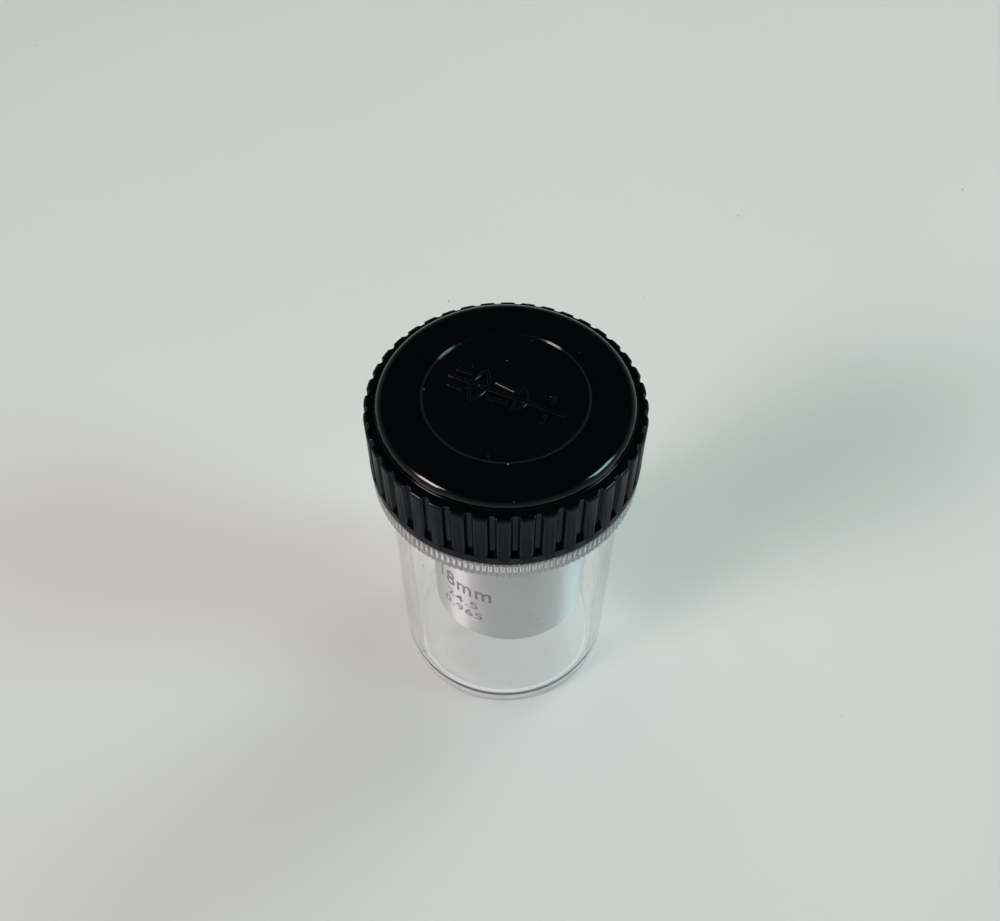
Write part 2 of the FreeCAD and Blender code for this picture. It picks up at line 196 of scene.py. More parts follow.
def mesh_object(name, vertices, faces):
    """A smooth-shaded object from points in millimetres, sharp where faces meet steeply."""
    mesh = bpy.data.meshes.new(name)
    mesh.from_pydata([Vector(point) * MM for point in vertices], [], faces)
    shell = bmesh.new()
    shell.from_mesh(mesh)
    bmesh.ops.recalc_face_normals(shell, faces=shell.faces)
    shell.to_mesh(mesh)
    shell.free()
    mesh.shade_smooth()
    mesh.set_sharp_from_angle(angle=CREASE)
    made = bpy.data.objects.new(name, mesh)
    bpy.context.collection.objects.link(made)
    return made


def lathe(name, outline, angles, closed=False, warp=None, centre_x=0.0):
    """Spin an outline round a vertical axis. warp(column, angle, radius, height) gives a new radius."""
    vertices = []
    rows = []
    for radius, height in outline:
        if radius < TINY:
            rows.append([len(vertices)] * len(angles))
            vertices.append((0.0, 0.0, height))
            continue
        row = []
        for column, angle in enumerate(angles):
            reach = warp(column, angle, radius, height) if warp else radius
            row.append(len(vertices))
            vertices.append((reach * math.cos(angle), reach * math.sin(angle), height))
        rows.append(row)
    pairs = list(zip(rows, rows[1:]))
    if closed:
        pairs.append((rows[-1], rows[0]))
    faces = []
    for lower, upper in pairs:
        for column in range(len(angles)):
            following = (column + 1) % len(angles)
            corners = (lower[column], lower[following], upper[following], upper[column])
            faces.append(tuple(dict.fromkeys(corners)))
    made = mesh_object(name, vertices, faces)
    made.location.x = centre_x * MM
    return made


def fitted(piece, body, slot, material, *nodes):
    """Give a piece its material and the body it rides on, and hide the CAD nodes it stands for. slot is not
    used.
    """
    piece.data.materials.append(material)
    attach(piece, body)
    if nodes:
        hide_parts(*nodes)
    return piece


# Material helpers

class Graph:
    """Short-hand for one material's node tree."""

    def __init__(self, name):
        self.material = bpy.data.materials.new(name)
        self.material.use_nodes = True
        self.tree = self.material.node_tree
        self.shader = self.tree.nodes["Principled BSDF"]
        self.output = self.tree.nodes["Material Output"]
        self.place = self.node("ShaderNodeTexCoord").outputs["Object"]

    def feed(self, socket, value):
        """Link a socket, or set it to a constant."""
        if isinstance(value, bpy.types.NodeSocket):
            self.tree.links.new(value, socket)
        else:
            socket.default_value = value

    def node(self, kind, inputs=None, **settings):
        """Add a node with its inputs linked or set."""
        made = self.tree.nodes.new(kind)
        for key, value in settings.items():
            setattr(made, key, value)
        for key, value in (inputs or {}).items():
            self.feed(made.inputs[key], value)
        return made

    def surface(self, **inputs):
        """Set the main shader's inputs, with underscores for spaces in their names."""
        for key, value in inputs.items():
            self.feed(self.shader.inputs[key.replace("_", " ")], value)

    def stretched(self, x, y, z):
        """Object coordinates scaled along each axis."""
        return self.node("ShaderNodeMapping", {"Vector": self.place, "Scale": (x, y, z)}).outputs[0]

    def noise(self, scale, detail=3.0, vector=None):
        """Noise from 0 to 1; scale is in features per metre."""
        return self.node("ShaderNodeTexNoise", {
            "Vector": vector or self.place, "Scale": scale, "Detail": detail, "Roughness": 0.55,
        }).outputs["Fac"]

    def spots(self, scale, size, share):
        """Sparse round spots: 1 inside a spot. size is a share of the cell, share is how many cells."""
        cells = self.node("ShaderNodeTexVoronoi", {"Vector": self.place, "Scale": scale})
        chance = self.node("ShaderNodeSeparateColor", {"Color": cells.outputs["Color"]}).outputs[0]
        inside = self.math("LESS_THAN", cells.outputs["Distance"], size)
        return self.math("MULTIPLY", inside, self.math("LESS_THAN", chance, share))

    def math(self, operation, first, second=0.0):
        """One arithmetic step."""
        return self.node("ShaderNodeMath", {0: first, 1: second}, operation=operation).outputs[0]

    def spread(self, source, low, high, start=0.0, end=1.0):
        """Map source from low..high to start..end, clamped."""
        return self.node("ShaderNodeMapRange", {
            "Value": source, "From Min": low, "From Max": high, "To Min": start, "To Max": end,
        }).outputs[0]

    def blend(self, factor, first, second):
        """Mix two colours."""
        mixed = self.node("ShaderNodeMix", data_type="RGBA")
        self.feed(mixed.inputs["Factor"], factor)
        self.feed(mixed.inputs["A"], colour(first))
        self.feed(mixed.inputs["B"], colour(second))
        return mixed.outputs["Result"]

    def bump(self, height, depth_mm):
        """Surface relief of a given depth."""
        return self.node("ShaderNodeBump", {
            "Height": height, "Strength": 1.0, "Distance": depth_mm * MM,
        }).outputs["Normal"]

    def axis_distance(self):
        """Distance from the case's axis, in metres."""
        x, y, _ = self.node("ShaderNodeSeparateXYZ", {"Vector": self.place}).outputs
        squares = self.math("ADD", self.math("MULTIPLY", x, x), self.math("MULTIPLY", y, y))
        return self.math("SQRT", squares)

    def height(self):
        """Height above the table, in metres."""
        return self.node("ShaderNodeSeparateXYZ", {"Vector": self.place}).outputs["Z"]


def colour(value):
    """A colour constant with its alpha, or a socket unchanged."""
    if isinstance(value, tuple) and len(value) == 3:
        return (*value, 1.0)
    return value


# Materials

def clear_plastic():
    """Moulded clear polystyrene: flow ripples, fine scratches, dust, and a frosted collar and foot."""
    graph = Graph("clear_plastic")
    ripples = graph.noise(220, 1.0, graph.stretched(1, 1, 0.35))
    scratches = graph.noise(900, 6.0, graph.stretched(1.0, 1.0, 0.12))
    haze = graph.spread(scratches, 0.6, 0.8, 0.012, 0.09)
    from_axis = graph.axis_distance()
    collar = graph.math("MULTIPLY", graph.math("GREATER_THAN", from_axis, (JAR_R + 0.5) * MM),
                        graph.math("LESS_THAN", graph.height(), COLLAR_Z[1] * MM))
    foot = graph.math("MULTIPLY", graph.math("GREATER_THAN", from_axis, (JAR_BORE_R - 0.8) * MM),
                      graph.math("LESS_THAN", graph.height(), (JAR_FLOOR_Z + 0.8) * MM))
    frosted = graph.math("MAXIMUM", collar, graph.math("MULTIPLY", foot, FOOT_FROST))
    graph.surface(
        Base_Color=(0.985, 0.99, 0.985, 1.0), IOR=1.5,
        Roughness=graph.math("ADD", haze, graph.math("MULTIPLY", frosted, 0.14)),
        Transmission_Weight=graph.spread(frosted, 0.0, FOOT_FROST, 0.97, 0.56),
        Normal=graph.bump(ripples, 0.004),
    )
    edge_on = graph.node("ShaderNodeLayerWeight", {"Blend": 0.5}).outputs["Facing"]
    shade = graph.spread(edge_on, 0.2, 1.0)
    in_wall = graph.blend(shade, (0.975, 0.98, 0.975), (0.58, 0.6, 0.59))
    in_floor = graph.math("LESS_THAN", graph.height(), (JAR_FLOOR_Z + 0.2) * MM)
    dimmed = graph.blend(in_floor, in_wall, (0.4, 0.4, 0.4))
    through = graph.node("ShaderNodeBsdfTransparent", {"Color": dimmed}).outputs[0]
    shadow_ray = graph.node("ShaderNodeLightPath").outputs["Is Shadow Ray"]
    body = graph.node("ShaderNodeMixShader", {0: shadow_ray, 1: graph.shader.outputs[0], 2: through})
    dust = graph.node("ShaderNodeBsdfDiffuse", {"Color": (0.2, 0.19, 0.17, 1.0)}).outputs[0]
    specks = graph.math("MAXIMUM", graph.spots(420, 0.06, 0.32), graph.spots(900, 0.07, 0.16))
    dusty = graph.node("ShaderNodeMixShader", {0: specks, 1: body.outputs[0], 2: dust})
    graph.feed(graph.output.inputs["Surface"], dusty.outputs[0])
    return graph.material


def black_plastic():
    """Black moulded plastic: a polished disc, a finely sparked recess floor, and ribs and band below the
    ledge with a dark bluish diffuse mixed in, painted shade that darkens them and dims their reflection.
    """
    graph = Graph("black_plastic")
    cloud = graph.noise(160, 4.0)
    grain = graph.noise(5200, 2.0)
    pores = graph.noise(2600, 2.0)
    in_recess = graph.math("LESS_THAN", graph.axis_distance(), (RECESS_R - 0.15) * MM)
    above_floor = graph.math("SUBTRACT", graph.height(), (CAP_HIGH.z - RECESS_DEPTH) * MM)
    off_floor = graph.math("ABSOLUTE", above_floor)
    sparked = graph.math("MULTIPLY", in_recess, graph.math("LESS_THAN", off_floor, 0.06 * MM))
    dust = graph.math("MAXIMUM", graph.spots(360, 0.04, 0.3), graph.spots(1100, 0.06, 0.06))
    tone = graph.blend(cloud, (0.0008, 0.0014, 0.0018), (0.0016, 0.0024, 0.0032))
    polish = graph.spread(cloud, 0.3, 0.75, 0.09, 0.15)
    rough = graph.math("ADD", polish, graph.math("MULTIPLY", sparked, 0.1))
    relief = graph.math("ADD", graph.math("MULTIPLY", grain, 0.3), graph.math("MULTIPLY", pores, sparked))
    graph.surface(
        Base_Color=graph.blend(dust, tone, (0.2, 0.205, 0.205)),
        Roughness=graph.math("MAXIMUM", rough, graph.math("MULTIPLY", dust, 0.8)),
        IOR=1.5, Specular_IOR_Level=0.38,
        Normal=graph.bump(relief, 0.012),
    )
    # Painted shade: below the ledge a dark bluish diffuse is mixed in, darkening the ribs and band and
    # dimming their reflection.
    shaded_sides = graph.math("LESS_THAN", graph.height(), (LEDGE_Z - 0.1) * MM)
    painted_shade = graph.node("ShaderNodeBsdfDiffuse", {"Color": (0.005, 0.009, 0.0135, 1.0)}).outputs[0]
    wear_and_shade = graph.math("MULTIPLY", shaded_sides, graph.spread(cloud, 0.3, 0.7, 0.55, 0.68))
    worn_and_shaded = graph.node("ShaderNodeMixShader", {0: wear_and_shade, 1: graph.shader.outputs[0], 2: painted_shade})
    graph.feed(graph.output.inputs["Surface"], worn_and_shaded.outputs[0])
    return graph.material


def pale_liner():
    """Soft white polyethylene disc with a faint moulding grain."""
    graph = Graph("pale_liner")
    cloud = graph.noise(400, 4.0)
    cells = graph.noise(2400, 2.0)
    graph.surface(
        Base_Color=graph.blend(cloud, (0.66, 0.65, 0.6), (0.78, 0.77, 0.73)),
        Roughness=graph.spread(cells, 0.3, 0.7, 0.5, 0.7),
        Subsurface_Weight=0.1, Subsurface_Scale=0.001,
        Normal=graph.bump(cells, 0.02),
    )
    return graph.material


def satin_chrome():
    """Chrome over fine turning marks, with handling marks and light scratches."""
    graph = Graph("satin_chrome")
    rings = graph.noise(1.0, 3.0, graph.stretched(90, 90, 14000))
    bands = graph.noise(1.0, 2.0, graph.stretched(60, 60, 1800))
    wipes = graph.noise(300, 5.0, graph.stretched(1, 1, 0.5))
    nicks = graph.math("MULTIPLY", graph.spread(graph.noise(1500, 2.0), 0.64, 0.7),
                       graph.spread(wipes, 0.52, 0.62))
    tint = graph.blend(bands, (0.50, 0.515, 0.52), (0.58, 0.59, 0.595))
    worn_and_shaded = graph.blend(nicks, tint, (0.3, 0.3, 0.29))
    rough = graph.math("ADD", graph.spread(rings, 0.3, 0.7, 0.3, 0.4),
                       graph.spread(wipes, 0.5, 0.8, 0.0, 0.12))
    tangent = graph.node("ShaderNodeTangent", direction_type="RADIAL", axis="Z").outputs[0]
    graph.surface(
        Base_Color=worn_and_shaded, Metallic=1.0, Roughness=rough, Tangent=tangent,
        Anisotropic=0.95, Anisotropic_Rotation=0.25,
        Normal=graph.bump(rings, 0.0015),
    )
    return graph.material


def engraving_paint():
    """Dark paint filling the engraved figures, a little worn."""
    graph = Graph("engraving_paint")
    wear_and_shade = graph.noise(4200, 3.0)
    graph.surface(
        Base_Color=graph.blend(graph.spread(wear_and_shade, 0.55, 0.75), (0.028, 0.029, 0.03), (0.16, 0.16, 0.16)),
        Roughness=graph.spread(wear_and_shade, 0.3, 0.7, 0.45, 0.7),
        Normal=graph.bump(wear_and_shade, 0.004),
    )
    return graph.material


def black_anodised():
    """Black anodised aluminium with fine turned rings and metal showing at worn spots."""
    graph = Graph("black_anodised")
    rings = graph.noise(1.0, 2.0, graph.stretched(120, 120, 9000))
    cloud = graph.noise(250, 4.0)
    worn_and_shaded = graph.spread(graph.noise(1300, 5.0), 0.7, 0.76)
    tone = graph.blend(cloud, (0.006, 0.006, 0.007), (0.013, 0.013, 0.014))
    graph.surface(
        Base_Color=graph.blend(worn_and_shaded, tone, (0.3, 0.3, 0.31)),
        Metallic=worn_and_shaded, Specular_IOR_Level=0.3,
        Roughness=graph.spread(rings, 0.3, 0.7, 0.3, 0.46),
        Normal=graph.bump(rings, 0.003),
    )
    return graph.material


def blackened_brass():
    """Chemically blackened brass with turned rings and a warm cast on worn edges."""
    graph = Graph("blackened_brass")
    rings = graph.noise(1.0, 2.0, graph.stretched(150, 150, 7000))
    cloud = graph.noise(500, 5.0)
    tone = graph.blend(cloud, (0.016, 0.014, 0.012), (0.04, 0.034, 0.026))
    graph.surface(
        Base_Color=graph.blend(graph.spread(cloud, 0.66, 0.72), tone, (0.35, 0.24, 0.1)),
        Metallic=0.6, Roughness=graph.spread(rings, 0.3, 0.7, 0.42, 0.62),
        Normal=graph.bump(rings, 0.004),
    )
    return graph.material


def coated_glass(name, tint, film_nm):
    """Optical glass with a thin anti-reflection film and a trace of dust."""
    graph = Graph(name)
    smear = graph.noise(300, 4.0, graph.stretched(1, 0.4, 1))
    graph.surface(
        Base_Color=(*tint, 1.0), Transmission_Weight=1.0, IOR=1.56,
        Thin_Film_Thickness=film_nm, Thin_Film_IOR=1.38,
        Roughness=graph.spread(smear, 0.55, 0.8, 0.0, 0.05),
    )
    return graph.material


def black_steel():
    """Blackened steel screws with a rubbed socket."""
    graph = Graph("black_steel")
    grain = graph.noise(3000, 3.0)
    graph.surface(
        Base_Color=graph.blend(grain, (0.03, 0.03, 0.033), (0.1, 0.1, 0.105)),
        Metallic=0.9, Roughness=graph.spread(grain, 0.3, 0.7, 0.3, 0.5),
        Normal=graph.bump(grain, 0.004),
    )
    return graph.material


def table_top():
    """Pale gloss-coated board with faint mottling and specks of dust."""
    graph = Graph("table_top")
    mottle = graph.noise(14, 3.0)
    fine = graph.noise(600, 3.0)
    ragged = graph.spread(graph.noise(1500, 3.0), 0.45, 0.55)
    dust = graph.math("MULTIPLY", graph.spots(160, 0.035, 0.09), ragged)
    tone = graph.blend(mottle, (0.72, 0.722, 0.688), (0.745, 0.748, 0.715))
    graph.surface(
        Base_Color=graph.blend(dust, tone, (0.3, 0.28, 0.25)),
        Roughness=graph.spread(fine, 0.3, 0.7, 0.2, 0.26),
        IOR=1.45, Specular_IOR_Level=0.35,
        Normal=graph.bump(graph.noise(60, 1.0), 0.002),
    )
    return graph.material


# Pieces of the case

def thread_lift(angle, height, first_angle):
    """How far up a thread ridge's flank a point stands: 0 at the root, 1 on the crest."""
    lift = 0.0
    for start in (0.0, TAU / 2):
        turn = (angle - first_angle - start) % TAU
        if turn > THREAD_TURN:
            continue
        centre = THREAD_START_Z + THREAD_LEAD * turn / TAU
        flank = (THREAD_HALF_ROOT - abs(height - centre)) / (THREAD_HALF_ROOT - THREAD_HALF_CREST)
        run_out = min(turn, THREAD_TURN - turn) / THREAD_RUN_OUT
        lift = max(lift, min(flank, run_out, 1.0))
    return lift


def thread_rows(radius, upward):
    """Closely spaced outline points over the thread's height."""
    low, high = THREAD_ZONE
    heights = [low + (high - low) * index / THREAD_ROWS for index in range(THREAD_ROWS + 1)]
    return [(radius, height) for height in (heights if upward else reversed(heights))]


def jar_warp(column, angle, radius, height):
    """Teeth on the collar and the thread on the neck."""
    if radius > COLLAR_R - COLLAR_TOOTHED_WITHIN:
        phase = column % COLUMNS_PER_TOOTH / COLUMNS_PER_TOOTH
        groove = max(0.0, 1 - 4 * min(phase, 1 - phase))
        return radius - groove * COLLAR_TOOTH_DEPTH
    if abs(radius - NECK_R) < TINY and THREAD_ZONE[0] <= height <= THREAD_ZONE[1]:
        return radius + JAR_THREAD_HEIGHT * thread_lift(angle, height, 0.0)
    return radius


def build_jar(material):
    """Clear jar with foot ring, serrated collar and threaded neck, as one closed shell."""
    below_neck = softened([
        (0, FOOT_RECESS),
        (FOOT_R, FOOT_RECESS, 0.15),
        (FOOT_R + FOOT_RECESS, 0.0, 0.12),
        (JAR_R, 0.0, 0.9),
        (JAR_R, COLLAR_Z[0], 0.35),
        (COLLAR_R, COLLAR_Z[0], 0.28),
        (COLLAR_R, COLLAR_Z[1], 0.28),
        (NECK_R, COLLAR_Z[1], 0.2),
        (NECK_R, THREAD_ZONE[0]),
    ])
    above_thread = softened([
        (NECK_R, THREAD_ZONE[1] + THREAD_SEAM),
        (NECK_R, RIM_Z, 0.2),
        (JAR_BORE_R, RIM_Z, 0.2),
        (JAR_BORE_R, JAR_FLOOR_Z, 0.6),
        (0, JAR_FLOOR_Z),
    ], steps=6)
    outline = below_neck[:-1] + thread_rows(NECK_R, True) + above_thread[1:]
    jar = lathe("jar_shell", outline, even_angles(COLLAR_TEETH * COLUMNS_PER_TOOTH), warp=jar_warp)
    return fitted(jar, "jar", "clear_plastic", material, "case_jar")


def rib_stations():
    """Angle and radius of each column of the cap's side: crowned ribs and slant-sided grooves."""
    pitch = TAU * RIB_R / RIB_COUNT
    section = softened([
        (0.0, GROOVE_R),
        (GROOVE_HALF_FLOOR, GROOVE_R, 0.1),
        (GROOVE_HALF_MOUTH, RIB_EDGE_R, 0.16),
        (RIB_FLANK_END, RIB_R - RIB_CROWN),
        (pitch / 2, RIB_R),
        (pitch - RIB_FLANK_END, RIB_R - RIB_CROWN),
        (pitch - GROOVE_HALF_MOUTH, RIB_EDGE_R, 0.16),
        (pitch - GROOVE_HALF_FLOOR, GROOVE_R, 0.1),
        (pitch, GROOVE_R),
    ], steps=1)[:-1]
    stations = []
    for rib in range(RIB_COUNT):
        for along, radius in section:
            stations.append((GROOVE_PHASE + (rib * pitch + along) / RIB_R, radius))
    return stations


def build_cap(material):
    """Black screw cap: ribs, band, disc with its recess, and the thread inside."""
    stations = rib_stations()

    def warp(column, angle, radius, height):
        """Ribs on the side and the thread in the bore."""
        if radius > GROOVE_R - 0.1 and BAND_TOP_Z < height < LEDGE_Z + 0.01:
            return min(radius, stations[column][1])
        if abs(radius - CAP_BORE_R) < TINY and THREAD_ZONE[0] <= height <= THREAD_ZONE[1]:
            return radius - CAP_THREAD_HEIGHT * thread_lift(angle, height, TAU / 4)
        return radius

    top = CAP_HIGH.z
    outside = softened([
        (0, top - RECESS_DEPTH),
        (RECESS_R - RECESS_WALL_RUN, top - RECESS_DEPTH, 0.34),
        (RECESS_R, top, 0.42),
        (DISC_R, top, 1.45),
        (DISC_R, LEDGE_Z, 0.15),
        (RIB_R, LEDGE_Z, 0.6),
        (RIB_R, BAND_TOP_Z + RIB_FOOT_STEP),
    ], steps=6)
    band = softened([
        (RIB_R, BAND_TOP_Z),
        (RIB_R, CAP_LOW.z, 0.3),
        (CAP_BORE_R, CAP_LOW.z, 0.12),
        (CAP_BORE_R, THREAD_ZONE[0]),
    ], steps=4)
    ceiling = softened([
        (CAP_BORE_R, THREAD_ZONE[1] + THREAD_SEAM),
        (CAP_BORE_R, CAP_CEILING_Z, 0.3),
        (0, CAP_CEILING_Z),
    ], steps=4)
    outline = outside + band[:-1] + thread_rows(CAP_BORE_R, True) + ceiling[1:]
    cap = lathe("cap_shell", outline, [angle for angle, _ in stations], warp=warp)
    return fitted(cap, "cap", "black_plastic", material, "case_cap")


def raised_band(name, outer, inner, bottom, height):
    """A raised line between two outlines of equal length, or a filled plate when inner is None."""
    count = len(outer)
    outlines = [outer] if inner is None else [outer, inner]
    vertices = []
    for outline in outlines:
        vertices += [(x, y, bottom) for x, y in outline]
        vertices += [(x, y, bottom + height) for x, y in outline]
    faces = []
    for index in range(count):
        following = (index + 1) % count
        for first in range(0, len(vertices), 2 * count):
            faces.append((first + index, first + following,
                          first + count + following, first + count + index))
        if inner is not None:
            for level in (0, count):
                faces.append((level + index, level + following,
                              2 * count + level + following, 2 * count + level + index))
    if inner is None:
        faces += [tuple(range(count)), tuple(range(count, 2 * count))]
    band = mesh_object(name, vertices, faces)
    shell = bmesh.new()
    shell.from_mesh(band.data)
    level = (bottom + height) * MM - 1e-7
    rims = [edge for edge in shell.edges
            if all(vertex.co.z > level for vertex in edge.verts)
            and any(abs(face.normal.z) < 0.5 for face in edge.link_faces)]
    bmesh.ops.bevel(shell, geom=rims, offset=EMBLEM_BEVEL * MM, segments=4, profile=0.5, affect="EDGES")
    shell.to_mesh(band.data)
    shell.free()
    band.data.shade_smooth()
    band.data.set_sharp_from_angle(angle=math.radians(35))
    return band


def lens_outline(centre, half_height, left_bulge, right_bulge, steps=14):
    """A lens seen from the side, as points round its outline."""
    points = []
    for side, bulge in ((1, right_bulge), (-1, -left_bulge)):
        for step in range(steps):
            share = (2 * step / steps - 1) * side
            points.append((centre + bulge * (1 - share * share), half_height * share))
    return points


def stroke(start, end):
    """A straight line of the emblem, as a four-cornered outline."""
    along = (Vector(end) - Vector(start)).normalized()
    across = Vector((-along.y, along.x)) * EMBLEM_LINE / 2
    corners = (Vector(start) - across, Vector(end) - across, Vector(end) + across, Vector(start) + across)
    return [tuple(corner) for corner in corners]


def build_emblem(material):
    """Raised optical diagram in the cap's recess: two lenses, a stop, the axis and its light rays."""
    floor = CAP_HIGH.z - RECESS_DEPTH
    shapes = {
        "axis": (stroke((-8.6, 0), (8.6, 0)), None),
        "field_lens": (lens_outline(-4.0, 3.2, 1.4, 1.4), lens_outline(-4.0, 2.3, 0.85, 0.85)),
        "eye_lens": (lens_outline(1.4, 2.7, 0.0, 1.9), lens_outline(1.9, 1.8, 0.0, 0.95)),
        "stop_upper": (stroke((6.2, 0.8), (6.2, 2.6)), None),
        "stop_lower": (stroke((6.2, -2.6), (6.2, -0.8)), None),
        "ray_in_upper": (stroke((-8.0, 1.5), (-5.6, 1.5)), None),
        "ray_in_lower": (stroke((-8.0, -1.5), (-5.6, -1.5)), None),
        "ray_mid_upper": (stroke((-2.2, 1.5), (0.9, 1.1)), None),
        "ray_mid_lower": (stroke((-2.2, -1.5), (0.9, -1.1)), None),
    }
    turn = Matrix.Rotation(EMBLEM_TURN, 2)
    for name, outlines in shapes.items():
        outer, inner = ([tuple(turn @ Vector(point)) for point in outline] if outline else None
                        for outline in outlines)
        band = raised_band("emblem_" + name, outer, inner, floor - EMBLEM_SUNK, EMBLEM_HEIGHT + EMBLEM_SUNK)
        fitted(band, "cap", "black_plastic", material)


def build_liner(material):
    """Thin liner disc with softly rounded rims."""
    outline = softened([
        (0, LINER_LOW.z),
        (LINER_HIGH.x, LINER_LOW.z, 0.2),
        (LINER_HIGH.x, LINER_HIGH.z, 0.2),
        (0, LINER_HIGH.z),
    ])
    disc = lathe("liner_disc", outline, even_angles(192))
    return fitted(disc, "liner", "pale_liner", material, "cap_liner")


# Pieces of the eyepiece

def build_barrel(material):
    """Chromed barrel with a broken edge at the mouth and fine baffle grooves in its bore."""
    mouth = BARREL_LOW.z
    grooves = []
    groove_top = STOP_SHOULDER_Z - BAFFLES_BELOW_STOP
    for index in range(BAFFLE_COUNT):
        height = groove_top - (groove_top - mouth - BAFFLES_ABOVE_MOUTH) * index / (BAFFLE_COUNT - 1)
        grooves.append((BARREL_BORE_R, height))
        grooves.append((BARREL_BORE_R + BAFFLE_DEPTH, height - BAFFLE_WIDTH / 2))
        grooves.append((BARREL_BORE_R, height - BAFFLE_WIDTH))
    outline = softened([
        (FILTER_BORE_R + MOUTH_BREAK, mouth, 0.08),
        (BARREL_R - NOSE_CHAMFER, mouth, 0.12),
        (BARREL_R, mouth + NOSE_CHAMFER, 0.25),
        (BARREL_R, BARREL_TOP_Z, 0.1),
        (SPIGOT_R, BARREL_TOP_Z),
        (SPIGOT_R, BARREL_HIGH.z, 0.1),
        (INNER_BORE_R, BARREL_HIGH.z, 0.1),
        (INNER_BORE_R, STOP_SHOULDER_Z),
        (BARREL_BORE_R, STOP_SHOULDER_Z),
        *grooves,
        (BARREL_BORE_R, mouth + FILTER_DEPTH),
        (FILTER_BORE_R, mouth + FILTER_DEPTH),
        (FILTER_BORE_R, mouth + MOUTH_BREAK),
    ], closed=True)
    tube = lathe("barrel_tube", outline, even_angles(256), closed=True, centre_x=EYEPIECE_X)
    return fitted(tube, "eyepiece", "satin_chrome", material, "barrel")


def figures(text, size, width):
    """A thin solid mesh of figures, in millimetres, sliced finely enough to bend. width squeezes them."""
    curve = bpy.data.curves.new("figures", "FONT")
    curve.body = text
    curve.size = size
    curve.extrude = ENGRAVING_DEPTH
    curve.offset = ENGRAVING_WEIGHT * size
    curve.align_x = "CENTER"
    curve.space_character = ENGRAVING_SPACING
    holder = bpy.data.objects.new("figures", curve)
    shell = bmesh.new()
    shell.from_mesh(bpy.data.meshes.new_from_object(holder))
    bpy.data.objects.remove(holder)
    bpy.data.curves.remove(curve)
    bmesh.ops.scale(shell, vec=(width, 1.0, 1.0), verts=shell.verts)
    reach = size * len(text)
    for index in range(int(2 * reach / ENGRAVING_SLICE)):
        cut = Vector((index * ENGRAVING_SLICE - reach, 0, 0))
        everything = shell.verts[:] + shell.edges[:] + shell.faces[:]
        bmesh.ops.bisect_plane(shell, geom=everything, plane_co=cut, plane_no=(1, 0, 0))
    return shell


def build_engraving(material):
    """Figures engraved round the barrel: focal length, and barrel size in millimetres and inches.

    A line is its text, its size, its width as a share of normal, and its height above the barrel's mouth.
    """
    lines = (("18mm", 5.2, 0.72, 11.4), ("24.5", 2.7, 1.15, 8.1), ("0.965", 2.7, 1.1, 5.3))
    for text, size, width, rise in lines:
        shell = figures(text, size, width)
        for vertex in shell.verts:
            angle = ENGRAVING_MIDDLE + vertex.co.x / BARREL_R
            reach = BARREL_R - ENGRAVING_SUNK + vertex.co.z
            level = BARREL_LOW.z + rise + vertex.co.y
            vertex.co = Vector((reach * math.cos(angle), reach * math.sin(angle), level)) * MM
        mesh = bpy.data.meshes.new("engraving")
        shell.to_mesh(mesh)
        shell.free()
        piece = bpy.data.objects.new("engraving_" + text.replace(".", "_"), mesh)
        bpy.context.collection.objects.link(piece)
        piece.location.x = EYEPIECE_X * MM
        fitted(piece, "eyepiece", "satin_chrome", material)


def sphere_sag(curve_radius, radius):
    """How far a spherical surface has fallen away from its vertex at a radius."""
    return curve_radius - math.sqrt(curve_radius ** 2 - radius ** 2)


def lens_piece(name, radius, lower, upper, material, slot, node):
    """A lens between two surfaces, each (vertex height, curve radius or 0 if flat, side)."""
    steps = 24
    outline = []
    for (vertex, curve, side), order in ((lower, 1), (upper, -1)):
        surface = []
        for step in range(steps + 1):
            reach = (radius - LENS_CHAMFER) * step / steps
            fall = sphere_sag(curve, reach) * side if curve else 0.0
            surface.append((reach, vertex + fall))
        outline += surface[::order]
    ground = [(radius, outline[steps][1] + LENS_CHAMFER), (radius, outline[steps + 1][1] - LENS_CHAMFER)]
    outline[steps + 1:steps + 1] = ground
    piece = lathe(name, outline, even_angles(192), centre_x=EYEPIECE_X)
    return fitted(piece, "eyepiece", slot, material, node)


def build_lenses(crown, flint):
    """The cemented triplet and the eye lens."""
    bottom, lower_joint, upper_joint, top = TRIPLET_LEVELS
    outer = TRIPLET_OUTER_CURVE
    inner = TRIPLET_INNER_CURVE
    lens_piece("lens_lower", TRIPLET_R, (bottom, outer, 1), (lower_joint - CEMENT, inner, -1),
               crown, "crown_glass", "triplet_lower_element")
    lens_piece("lens_middle", TRIPLET_R, (lower_joint, inner, -1), (upper_joint, inner, 1),
               flint, "flint_glass", "triplet_middle_element")
    lens_piece("lens_upper", TRIPLET_R, (upper_joint + CEMENT, inner, 1), (top, outer, -1),
               crown, "crown_glass", "triplet_upper_element")
    lens_piece("lens_eye", EYE_LENS_R, (EYE_LENS_LOW.z, EYE_LENS_CURVE, 1), (EYE_LENS_HIGH.z, 0.0, 1),
               crown, "crown_glass", "eye_lens")


def finish_cad_nodes(materials):
    """Give every CAD node that stays its own material."""
    shared = {
        "black_anodised": ("housing", "name_ring", "grip_ring", "eye_cap"),
        "blackened_brass": ("lens_cell", "triplet_cell", "triplet_retainer", "spacer_ring",
                            "eye_lens_retainer", "field_stop", "field_stop_retainer"),
        "black_steel": ("set_screws",),
    }
    for slot, nodes in shared.items():
        for node in nodes:
            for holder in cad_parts[node].material_slots:
                holder.material = materials[slot]


# Stage, light and camera

def build_table(material):
    """A large round pale table top with a softly rounded edge."""
    outline = softened([(0, -TABLE_DEPTH), (TABLE_R, -TABLE_DEPTH), (TABLE_R, 0, TABLE_EDGE), (0, 0)])
    table = lathe("table", outline, even_angles(128))
    table.data.materials.append(material)


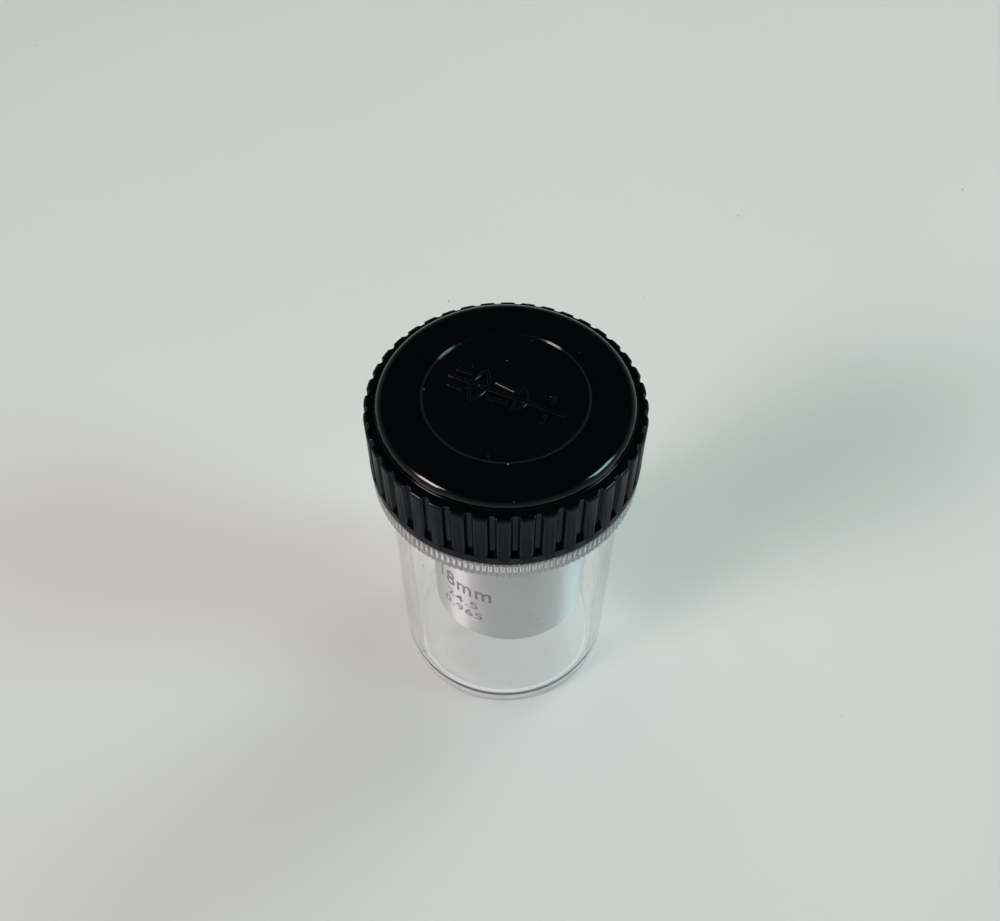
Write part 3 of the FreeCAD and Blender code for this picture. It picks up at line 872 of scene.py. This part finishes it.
def area_light(name, place, size, power, tint, glossy=True):
    """A square soft light aimed at the middle of the case. Place and size are in metres, power in watts."""
    lamp = bpy.data.lights.new(name, "AREA")
    lamp.shape = "SQUARE"
    lamp.size = size
    lamp.energy = power
    lamp.color = tint
    holder = bpy.data.objects.new(name, lamp)
    holder.location = place
    aim = Vector((0, 0, 0.03)) - Vector(place)
    holder.rotation_euler = aim.to_track_quat("-Z", "Y").to_euler()
    holder.visible_glossy = glossy
    bpy.context.collection.objects.link(holder)


def light_the_room():
    """A dim room: dark overhead, paler towards the horizon."""
    world = bpy.data.worlds.new("dim_room")
    world.use_nodes = True
    tree = world.node_tree
    direction = tree.nodes.new("ShaderNodeTexCoord").outputs["Generated"]
    parts = tree.nodes.new("ShaderNodeSeparateXYZ")
    tree.links.new(direction, parts.inputs["Vector"])
    shade = tree.nodes.new("ShaderNodeMapRange")
    shade.inputs["From Min"].default_value = 0.0
    shade.inputs["From Max"].default_value = DARK_ABOVE
    shade.inputs["To Min"].default_value = HORIZON_STRENGTH
    shade.inputs["To Max"].default_value = OVERHEAD_STRENGTH
    tree.links.new(parts.outputs["Z"], shade.inputs["Value"])
    backdrop = tree.nodes["Background"]
    backdrop.inputs["Color"].default_value = (0.95, 1.0, 0.98, 1.0)
    tree.links.new(shade.outputs["Result"], backdrop.inputs["Strength"])
    bpy.context.scene.world = world


def light_the_stage():
    """A warm key from the front left, a cool one from the right, and fills behind and overhead."""
    area_light("left_key", (-0.863, -0.488, 0.625), 0.33, 7.6, (1.0, 0.84, 0.88))
    area_light("right_key", (1.109, -0.201, 0.726), 0.42, 6.3, (0.62, 0.94, 1.0))
    area_light("back_fill", (0.856, 0.774, 0.750), 0.6, 5.2, (0.82, 1.0, 1.0), glossy=False)
    area_light("top_fill", (0.02, 0.16, 0.50), 0.60, 1.15, (1.0, 0.99, 0.92), glossy=False)
    light_the_room()


def place_camera():
    """The camera above and in front of the case, looking down at it."""
    lens = bpy.data.cameras.new("camera")
    lens.lens = 37.8
    lens.sensor_width = 36.0
    lens.clip_start = 0.005
    holder = bpy.data.objects.new("camera", lens)
    holder.location = CAMERA_PLACE
    holder.rotation_euler = (CAMERA_TILT, 0.0, 0.0)
    bpy.context.collection.objects.link(holder)
    bpy.context.scene.camera = holder


def build_all():
    """Every piece, in its place and riding on its body."""
    cap_plastic = black_plastic()
    build_jar(clear_plastic())
    build_cap(cap_plastic)
    build_emblem(cap_plastic)
    build_liner(pale_liner())
    build_barrel(satin_chrome())
    build_engraving(engraving_paint())
    build_lenses(
        coated_glass("crown_glass", (0.97, 0.99, 1.0), 120.0),
        coated_glass("flint_glass", (0.99, 0.985, 0.95), 0.0),
    )
    finish_cad_nodes({
        "black_anodised": black_anodised(),
        "blackened_brass": blackened_brass(),
        "black_steel": black_steel(),
    })
    build_table(table_top())
    light_the_stage()
    place_camera()
    bpy.context.scene.view_settings.view_transform = "Standard"


build_all()
